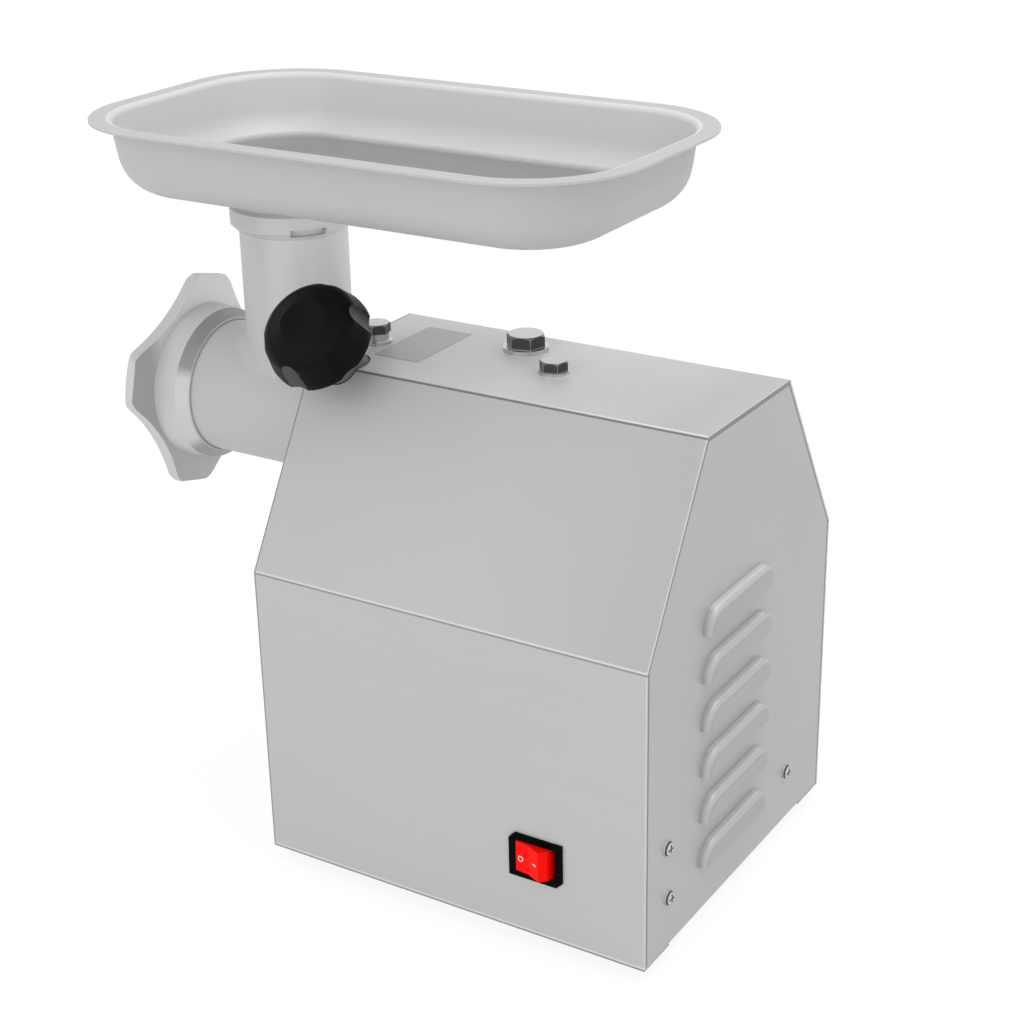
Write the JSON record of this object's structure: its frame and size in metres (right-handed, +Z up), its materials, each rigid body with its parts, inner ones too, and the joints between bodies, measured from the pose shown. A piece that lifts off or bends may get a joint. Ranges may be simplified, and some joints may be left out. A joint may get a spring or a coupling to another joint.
{
  "type": "electric meat grinder",
  "caption": "Electric meat grinder with a folded sheet-metal housing, rocker switch, screw-fed grinding head with lobed ring nut, clamp knob and shallow feed tray.",
  "frame": {"origin": "under the middle of the whole box, on the surface that the feet stand on", "axes": "+X from the ring nut towards the louvred rear panel, +Y across the housing away from the switch, +Z up"},
  "size_m": [0.3626, 0.2198, 0.3875],
  "materials": {
    "stainless_sheet": "fine brushed stainless sheet",
    "head_metal": "satin polished casting",
    "tray_sheet": "satin stainless sheet",
    "auger_metal": "tinned casting",
    "knife_steel": "ground",
    "bolt_steel": "bright plated",
    "screw_steel": "bright plated",
    "label_grey": "matt grey film, blank",
    "knob_black": "semi-gloss black",
    "switch_black": "gloss black",
    "rocker_red": "gloss red",
    "gland_black": "matt black",
    "foot_rubber": "matt black",
    "motor_steel": "dark paint",
    "core_steel": "stacked laminations",
    "copper": "enamelled copper",
    "gear_steel": "machined",
    "case_alloy": "as cast",
    "bronze": "turned bronze",
    "gasket_card": "matt",
    "capacitor_can": "plain can",
    "terminal_white": "matt white",
    "fan_plastic": "matt black",
    "zinc": "zinc plated"
  },
  "bodies": {
    "base": {"housing_shell": "stainless_sheet", "front_panel": "stainless_sheet", "rear_panel": "stainless_sheet", "base_plate": "stainless_sheet", "rubber_feet": "foot_rubber", "foot_screws": "zinc", "foot_nuts": "zinc", "base_screws": "screw_steel", "panel_screws": "screw_steel", "top_bolts": "bolt_steel", "top_washers": "bolt_steel", "bolt_collar": "bolt_steel", "middle_bolt": "bolt_steel", "middle_washer": "bolt_steel", "label_plate": "label_grey", "switch_body": "switch_black", "cable_gland": "gland_black", "gland_nut": "gland_black", "motor_shell": "motor_steel", "stator_core": "core_steel", "stator_windings": "copper", "motor_front_bell": "case_alloy", "motor_rear_bell": "case_alloy", "motor_bearings": "gear_steel", "motor_bolts": "zinc", "motor_cradle": "zinc", "cradle_bolts": "zinc", "capacitor": "capacitor_can", "capacitor_clamp": "zinc", "terminal_bracket": "zinc", "terminal_block": "terminal_white", "gearbox_case": "case_alloy", "gearbox_gasket": "gasket_card", "gearbox_cover": "case_alloy", "cover_bolts": "zinc", "nose_bolts": "zinc", "oil_seal": "gasket_card", "output_bearings": "gear_steel", "lay_bearings": "gear_steel"},
    "rotor": {"motor_shaft": "gear_steel", "rotor_core": "core_steel", "motor_fan": "fan_plastic"},
    "lay": {"lay_shaft": "gear_steel", "first_gear": "gear_steel"},
    "output": {"output_gear": "gear_steel", "output_shaft": "gear_steel"},
    "rocker": {"switch_rocker": "rocker_red"},
    "clamp_pad": {"clamp_pad": "gear_steel"},
    "clamp_screw": {"clamp_stud": "gear_steel", "clamp_knob": "knob_black"},
    "head": {"grinder_head": "head_metal", "rear_bush": "bronze", "thrust_washer": "bronze", "plate_key": "gear_steel"},
    "auger": {"auger": "auger_metal", "cross_knife": "knife_steel"},
    "plate": {"grinding_plate": "knife_steel"},
    "nut": {"ring_nut": "head_metal"},
    "tray": {"feed_tray": "tray_sheet", "tray_spout": "tray_sheet"}
  },
  "joints": [
    {"name": "motor_spin", "type": "hinge", "parent": "base", "child": "rotor", "pos_m": [0.0977, -0.00065, 0.0935], "axis": [1, 0, 0], "continuous": true},
    {"name": "lay_spin", "type": "hinge", "parent": "base", "child": "lay", "pos_m": [0.0377, -0.00065, 0.1775], "axis": [1, 0, 0], "continuous": true},
    {"name": "output_spin", "type": "hinge", "parent": "base", "child": "output", "pos_m": [0.0177, -0.00065, 0.2255], "axis": [1, 0, 0], "continuous": true},
    {"name": "rocker_tilt", "type": "hinge", "parent": "base", "child": "rocker", "pos_m": [0.1147, -0.09685, 0.0529], "axis": [0, 0, 1], "range_deg": [0, 32]},
    {"name": "clamp_slide", "type": "slide", "parent": "base", "child": "clamp_pad", "axis": [0, -0.6947, 0.7193], "range_m": [0, 0.0045]},
    {"name": "clamp_turn", "type": "hinge", "parent": "clamp_pad", "child": "clamp_screw", "pos_m": [-0.0353, -0.04233, 0.26866], "axis": [0, -0.6947, 0.7193], "range_deg": [0, 1080]},
    {"name": "head_slide", "type": "slide", "parent": "base", "child": "head", "axis": [-1, 0, 0], "range_m": [0, 0.064]},
    {"name": "auger_spin", "type": "hinge", "parent": "head", "child": "auger", "pos_m": [-0.1123, -0.00065, 0.2255], "axis": [1, 0, 0], "continuous": true},
    {"name": "plate_slide", "type": "slide", "parent": "head", "child": "plate", "axis": [-1, 0, 0], "range_m": [0, 0.012]},
    {"name": "nut_turn", "type": "hinge", "parent": "plate", "child": "nut", "pos_m": [-0.1623, -0.00065, 0.2255], "axis": [-1, 0, 0], "range_deg": [0, 1440]},
    {"name": "tray_lift", "type": "slide", "parent": "head", "child": "tray", "axis": [0, 0, 1], "range_m": [0, 0.05]}
  ],
  "couplings": [
    {"joint": "lay_spin", "follows": "motor_spin", "ratio": -0.16667},
    {"joint": "output_spin", "follows": "motor_spin", "ratio": 0.075758},
    {"joint": "auger_spin", "follows": "motor_spin", "ratio": 0.075758},
    {"joint": "plate_slide", "follows": "nut_turn", "m_per_rad": 0.00047746},
    {"joint": "clamp_slide", "follows": "clamp_turn", "m_per_rad": 0.00023873}
  ]
}
